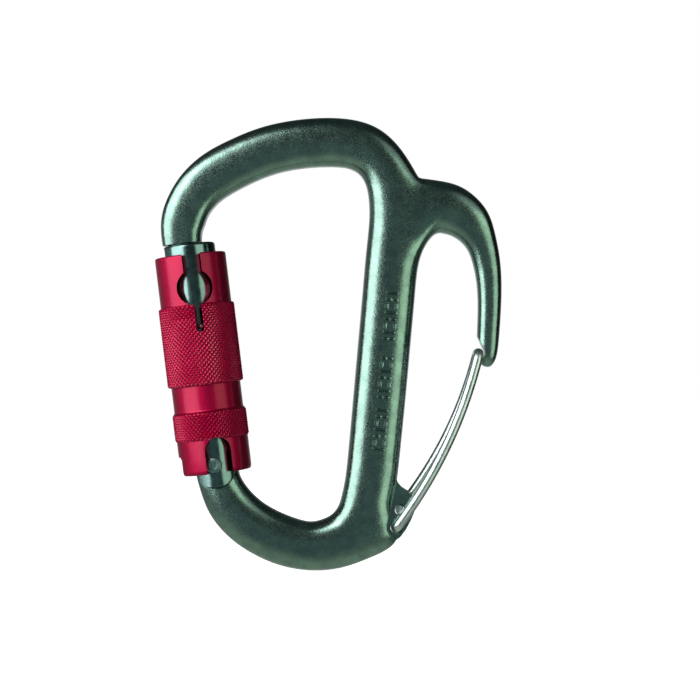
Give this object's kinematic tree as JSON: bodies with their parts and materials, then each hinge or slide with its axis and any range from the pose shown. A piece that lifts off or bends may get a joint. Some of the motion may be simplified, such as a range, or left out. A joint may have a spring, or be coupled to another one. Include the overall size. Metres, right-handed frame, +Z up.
{
  "type": "locking carabiner",
  "caption": "Offset D locking carabiner with a twist-lock gate, a knurled sleeve, and a side friction spur closed by a small wire gate.",
  "frame": {"origin": "where a harness loop bears, on the inside of the top bow, in the mid-plane", "axes": "+Z up along the spine, +X from the gate towards the spur, the front face looks along -Y"},
  "size_m": [0.0837, 0.0184, 0.1086],
  "materials": {
    "frame_anodised": "bead-blasted satin, grey-green anodised",
    "gate_anodised": "turned and polished, dark grey-green anodised",
    "sleeve_anodised": "turned, knurled, red anodised",
    "rivet": "turned head, dark",
    "spring_steel": "drawn wire",
    "plunger_steel": "ground",
    "pin_steel": "ground",
    "wire_steel": "bright drawn stainless"
  },
  "bodies": {
    "frame": {"frame": "frame_anodised"},
    "gate": {"gate_body": "gate_anodised", "gate_hinge_rivet": "rivet", "gate_return_spring": "spring_steel", "sleeve_stop_pin": "pin_steel"},
    "sleeve": {"locking_sleeve": "sleeve_anodised", "sleeve_return_spring": "spring_steel"},
    "plunger": {"gate_plunger": "plunger_steel"},
    "wire_gate": {"wire_gate": "wire_steel"}
  },
  "joints": [
    {"name": "gate_hinge", "type": "hinge", "parent": "frame", "child": "gate", "pos_m": [-0.0246, 0, -0.0735], "axis": [0, 1, 0], "range_deg": [0, 26], "stiffness_Nm_per_rad": 0.6, "springref_deg": -20.05},
    {"name": "sleeve_turn", "type": "hinge", "parent": "gate", "child": "sleeve", "pos_m": [-0.0246, 0, -0.0735], "axis": [0.2096, 0, -0.9778], "range_deg": [0, 90], "stiffness_Nm_per_rad": 0.03, "springref_deg": -45.84, "deforming": ["sleeve_return_spring"]},
    {"name": "plunger_slide", "type": "slide", "parent": "gate", "child": "plunger", "axis": [-0.2096, 0, 0.9778], "range_m": [0, 0.00075], "deforming": ["gate_return_spring"]},
    {"name": "wire_gate_hinge", "type": "hinge", "parent": "frame", "child": "wire_gate", "pos_m": [0.02013, 0, -0.08304], "axis": [0, -1, 0], "range_deg": [0, 18], "stiffness_Nm_per_rad": 0.4, "springref_deg": -14.32}
  ],
  "couplings": [
    {"joint": "plunger_slide", "follows": "gate_hinge", "m_per_rad": 0.0016}
  ]
}
